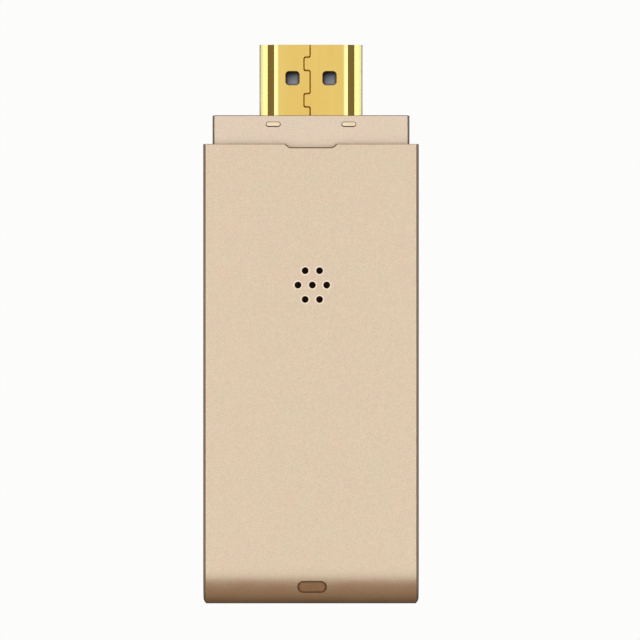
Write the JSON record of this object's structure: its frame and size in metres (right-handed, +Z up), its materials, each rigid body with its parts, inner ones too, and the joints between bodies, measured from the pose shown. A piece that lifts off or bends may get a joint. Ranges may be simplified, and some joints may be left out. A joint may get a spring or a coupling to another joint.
{
  "type": "wireless display adapter",
  "caption": "Flat stick-shaped wireless display adapter with a video plug at one end, a rounded far end, vents in one face and a mode button.",
  "frame": {"origin": "on the resting face, under the middle of the whole length, plug included", "axes": "+Z up through the vented face, +Y along the length and out of the plug, +X across"},
  "size_m": [0.0292, 0.0756, 0.0105],
  "materials": {
    "casing_paint": "champagne metallic paint with a fine grain, on plastic",
    "collar_paint": "champagne metallic paint, smoother than the casing",
    "button_paint": "champagne paint, a little browner",
    "pale_moulding": "pale moulded plastic",
    "gold_plating": "polished gold plating on folded sheet",
    "contact_gold": "gold plated spring metal",
    "dark_moulding": "dark moulded plastic",
    "board_laminate": "green solder mask on glass laminate",
    "radio_laminate": "blue solder mask on glass laminate",
    "screw_steel": "zinc plated",
    "can_steel": "tinned sheet",
    "spring_steel": "bare spring sheet",
    "chip_resin": "black moulded resin",
    "ferrite": "dark grey ferrite",
    "capacitor_resin": "yellow-brown resin",
    "capacitor_ceramic": "tan ceramic",
    "resistor_black": "black film on ceramic",
    "mesh_cloth": "fine black woven mesh",
    "thermal_rubber": "soft grey-blue silicone",
    "sink_aluminium": "bare aluminium"
  },
  "bodies": {
    "adapter": {"vented_cover": "casing_paint", "dust_mesh": "mesh_cloth", "plain_cover": "casing_paint", "nose_collar": "collar_paint", "plug_cradle_upper": "pale_moulding", "plug_cradle_lower": "pale_moulding", "plug_shell": "gold_plating", "plug_insulator": "dark_moulding", "plug_contacts_upper": "contact_gold", "plug_contacts_lower": "contact_gold", "main_board": "board_laminate", "board_screws": "screw_steel", "processor": "chip_resin", "thermal_pad": "thermal_rubber", "heat_sink": "sink_aluminium", "memory_chip": "chip_resin", "flash_chip": "chip_resin", "quartz_crystals": "can_steel", "buck_inductors": "ferrite", "buck_regulators": "chip_resin", "bulk_capacitors": "capacitor_resin", "ceramic_capacitors": "capacitor_ceramic", "chip_resistors": "resistor_black", "surge_arrays": "chip_resin", "radio_board": "radio_laminate", "radio_can": "can_steel", "radio_chip": "chip_resin", "chip_antenna": "capacitor_ceramic", "socket_shell": "can_steel", "socket_tongue": "dark_moulding", "socket_contacts": "contact_gold", "switch_base": "dark_moulding", "switch_dome": "spring_steel", "switch_frame": "can_steel", "switch_terminals": "contact_gold"},
    "button": {"mode_button": "button_paint"},
    "plunger": {"switch_plunger": "dark_moulding"}
  },
  "joints": [
    {"name": "button_press", "type": "slide", "parent": "adapter", "child": "button", "axis": [0, 0, -1], "range_m": [0, 0.0003], "stiffness_N_per_m": 1500},
    {"name": "plunger_press", "type": "slide", "parent": "adapter", "child": "plunger", "axis": [0, 0, -1], "range_m": [0, 0.0002], "deforming": ["switch_dome"]}
  ],
  "couplings": [
    {"joint": "plunger_press", "follows": "button_press", "ratio": 0.66}
  ]
}
